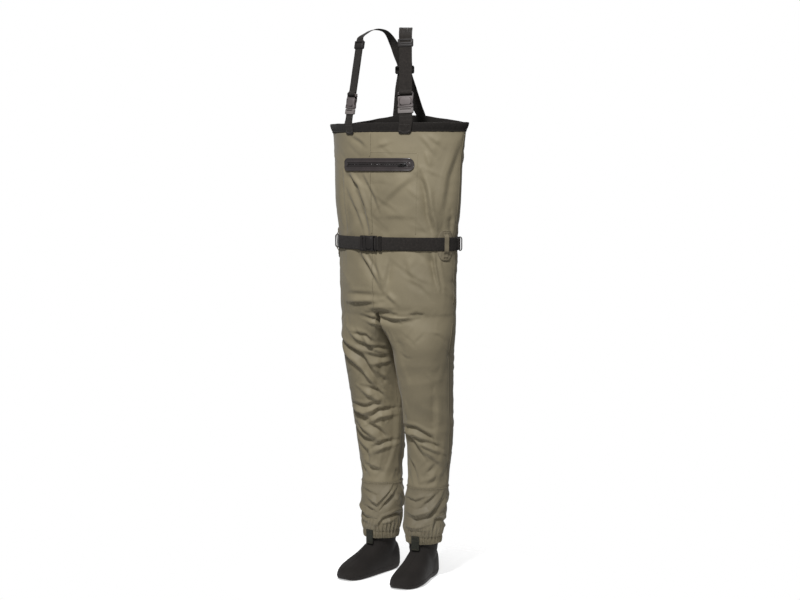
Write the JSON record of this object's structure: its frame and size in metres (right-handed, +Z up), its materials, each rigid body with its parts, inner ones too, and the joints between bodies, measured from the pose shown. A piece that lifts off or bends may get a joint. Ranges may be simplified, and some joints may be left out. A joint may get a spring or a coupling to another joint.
{
  "type": "chest waders",
  "caption": "Stockingfoot chest waders standing as worn: laminated trouser shell with neoprene socks, chest pocket, waist belt and buckled over-shoulder straps.",
  "frame": {"origin": "midway between the undersides of the two straps, where they rest on the wearer's shoulders", "axes": "+Z up the standing garment, -Y to the wearer's front, +X to the wearer's left"},
  "size_m": [0.5124, 0.2813, 1.693],
  "materials": {
    "shell": "matt, laminated plain weave",
    "binding": "matt, soft nap",
    "webbing": "matt, ribbed weave",
    "tab_webbing": "matt, ribbed weave",
    "neoprene": "matt knit over foam rubber",
    "elastic": "matt, gathered",
    "lining": "matt",
    "zip_film": "glossy welded film",
    "zip_tape": "satin, water-tight zip teeth under a coated tape",
    "grey_plastic": "satin moulded",
    "black_plastic": "satin moulded",
    "steel": "satin"
  },
  "bodies": {
    "garment": {"chest_front_panel": "shell", "chest_back_panel": "shell", "left_leg_front_panel": "shell", "right_leg_front_panel": "shell", "left_leg_back_panel": "shell", "right_leg_back_panel": "shell", "rim_binding": "binding", "left_gravel_guard": "shell", "right_gravel_guard": "shell", "left_hem_elastic": "elastic", "right_hem_elastic": "elastic", "left_neoprene_sock": "neoprene", "right_neoprene_sock": "neoprene", "zip_surround": "zip_film", "zip_tape": "zip_tape", "pocket_bag": "lining", "left_front_anchor_tab": "webbing", "right_front_anchor_tab": "webbing", "left_buckle_plug": "grey_plastic", "right_buckle_plug": "grey_plastic", "left_shoulder_strap": "webbing", "right_shoulder_strap": "webbing", "back_yoke": "black_plastic", "left_back_strap": "webbing", "right_back_strap": "webbing", "belt_buckle_socket": "black_plastic", "belt_webbing": "webbing", "belt_adjusting_run": "webbing", "left_belt_loop": "shell", "right_belt_loop": "shell", "left_belt_loop_patch": "shell", "right_belt_loop_patch": "shell", "back_belt_loop": "shell", "back_belt_loop_patch": "shell", "left_d_ring_keeper": "webbing", "right_d_ring_keeper": "webbing"},
    "left_strap_end": {"left_buckle_socket": "grey_plastic", "left_strap_front_run": "webbing"},
    "right_strap_end": {"right_buckle_socket": "grey_plastic", "right_strap_front_run": "webbing"},
    "left_slider": {"left_strap_slider": "black_plastic"},
    "right_slider": {"right_strap_slider": "black_plastic"},
    "belt_plug": {"belt_buckle_plug": "black_plastic"},
    "pocket_zip_slider": {"zip_slider": "steel"},
    "pocket_zip_pull": {"zip_pull": "black_plastic"},
    "left_ring": {"left_belt_d_ring": "black_plastic"},
    "right_ring": {"right_belt_d_ring": "black_plastic"},
    "left_hook_tab": {"left_lace_hook_tab": "tab_webbing", "left_lace_hook": "steel"},
    "right_hook_tab": {"right_lace_hook_tab": "tab_webbing", "right_lace_hook": "steel"}
  },
  "joints": [
    {"name": "left_strap_unbuckle", "type": "slide", "parent": "garment", "child": "left_strap_end", "axis": [-0.0871, 0.1204, 0.9889], "range_m": [0, 0.03], "deforming": ["left_shoulder_strap"]},
    {"name": "right_strap_unbuckle", "type": "slide", "parent": "garment", "child": "right_strap_end", "axis": [0.0871, 0.1204, 0.9889], "range_m": [0, 0.03], "deforming": ["right_shoulder_strap"]},
    {"name": "left_slider_slide", "type": "slide", "parent": "left_strap_end", "child": "left_slider", "axis": [-0.0871, 0.1204, 0.9889], "range_m": [-0.13, 0]},
    {"name": "right_slider_slide", "type": "slide", "parent": "right_strap_end", "child": "right_slider", "axis": [0.0871, 0.1204, 0.9889], "range_m": [-0.13, 0]},
    {"name": "belt_unbuckle", "type": "slide", "parent": "garment", "child": "belt_plug", "axis": [-0.9984, 0.0557, 0], "range_m": [0, 0.03], "deforming": ["belt_adjusting_run"]},
    {"name": "pocket_zip", "type": "hinge", "parent": "garment", "child": "pocket_zip_slider", "pos_m": [0, 0.2035, -0.41], "axis": [0, 0, 1], "range_deg": [-39.7, 0]},
    {"name": "zip_pull_swing", "type": "hinge", "parent": "pocket_zip_slider", "child": "pocket_zip_pull", "pos_m": [0.1038, -0.08383, -0.41], "axis": [0, 0, 1], "range_deg": [0, 150]},
    {"name": "left_ring_swing", "type": "hinge", "parent": "garment", "child": "left_ring", "pos_m": [0.214, 0.05084, -0.648], "axis": [0, 0, 1], "range_deg": [-30, 60]},
    {"name": "right_ring_swing", "type": "hinge", "parent": "garment", "child": "right_ring", "pos_m": [-0.21503, 0.01732, -0.648], "axis": [0, 0, 1], "range_deg": [-60, 30]},
    {"name": "left_hook_tab_lift", "type": "hinge", "parent": "garment", "child": "left_hook_tab", "pos_m": [0.08968, -0.00357, -1.552], "axis": [-0.9848, -0.1736, 0], "range_deg": [0, 60]},
    {"name": "right_hook_tab_lift", "type": "hinge", "parent": "garment", "child": "right_hook_tab", "pos_m": [-0.08468, -0.00244, -1.552], "axis": [-0.999, 0.0436, 0], "range_deg": [0, 60]}
  ]
}
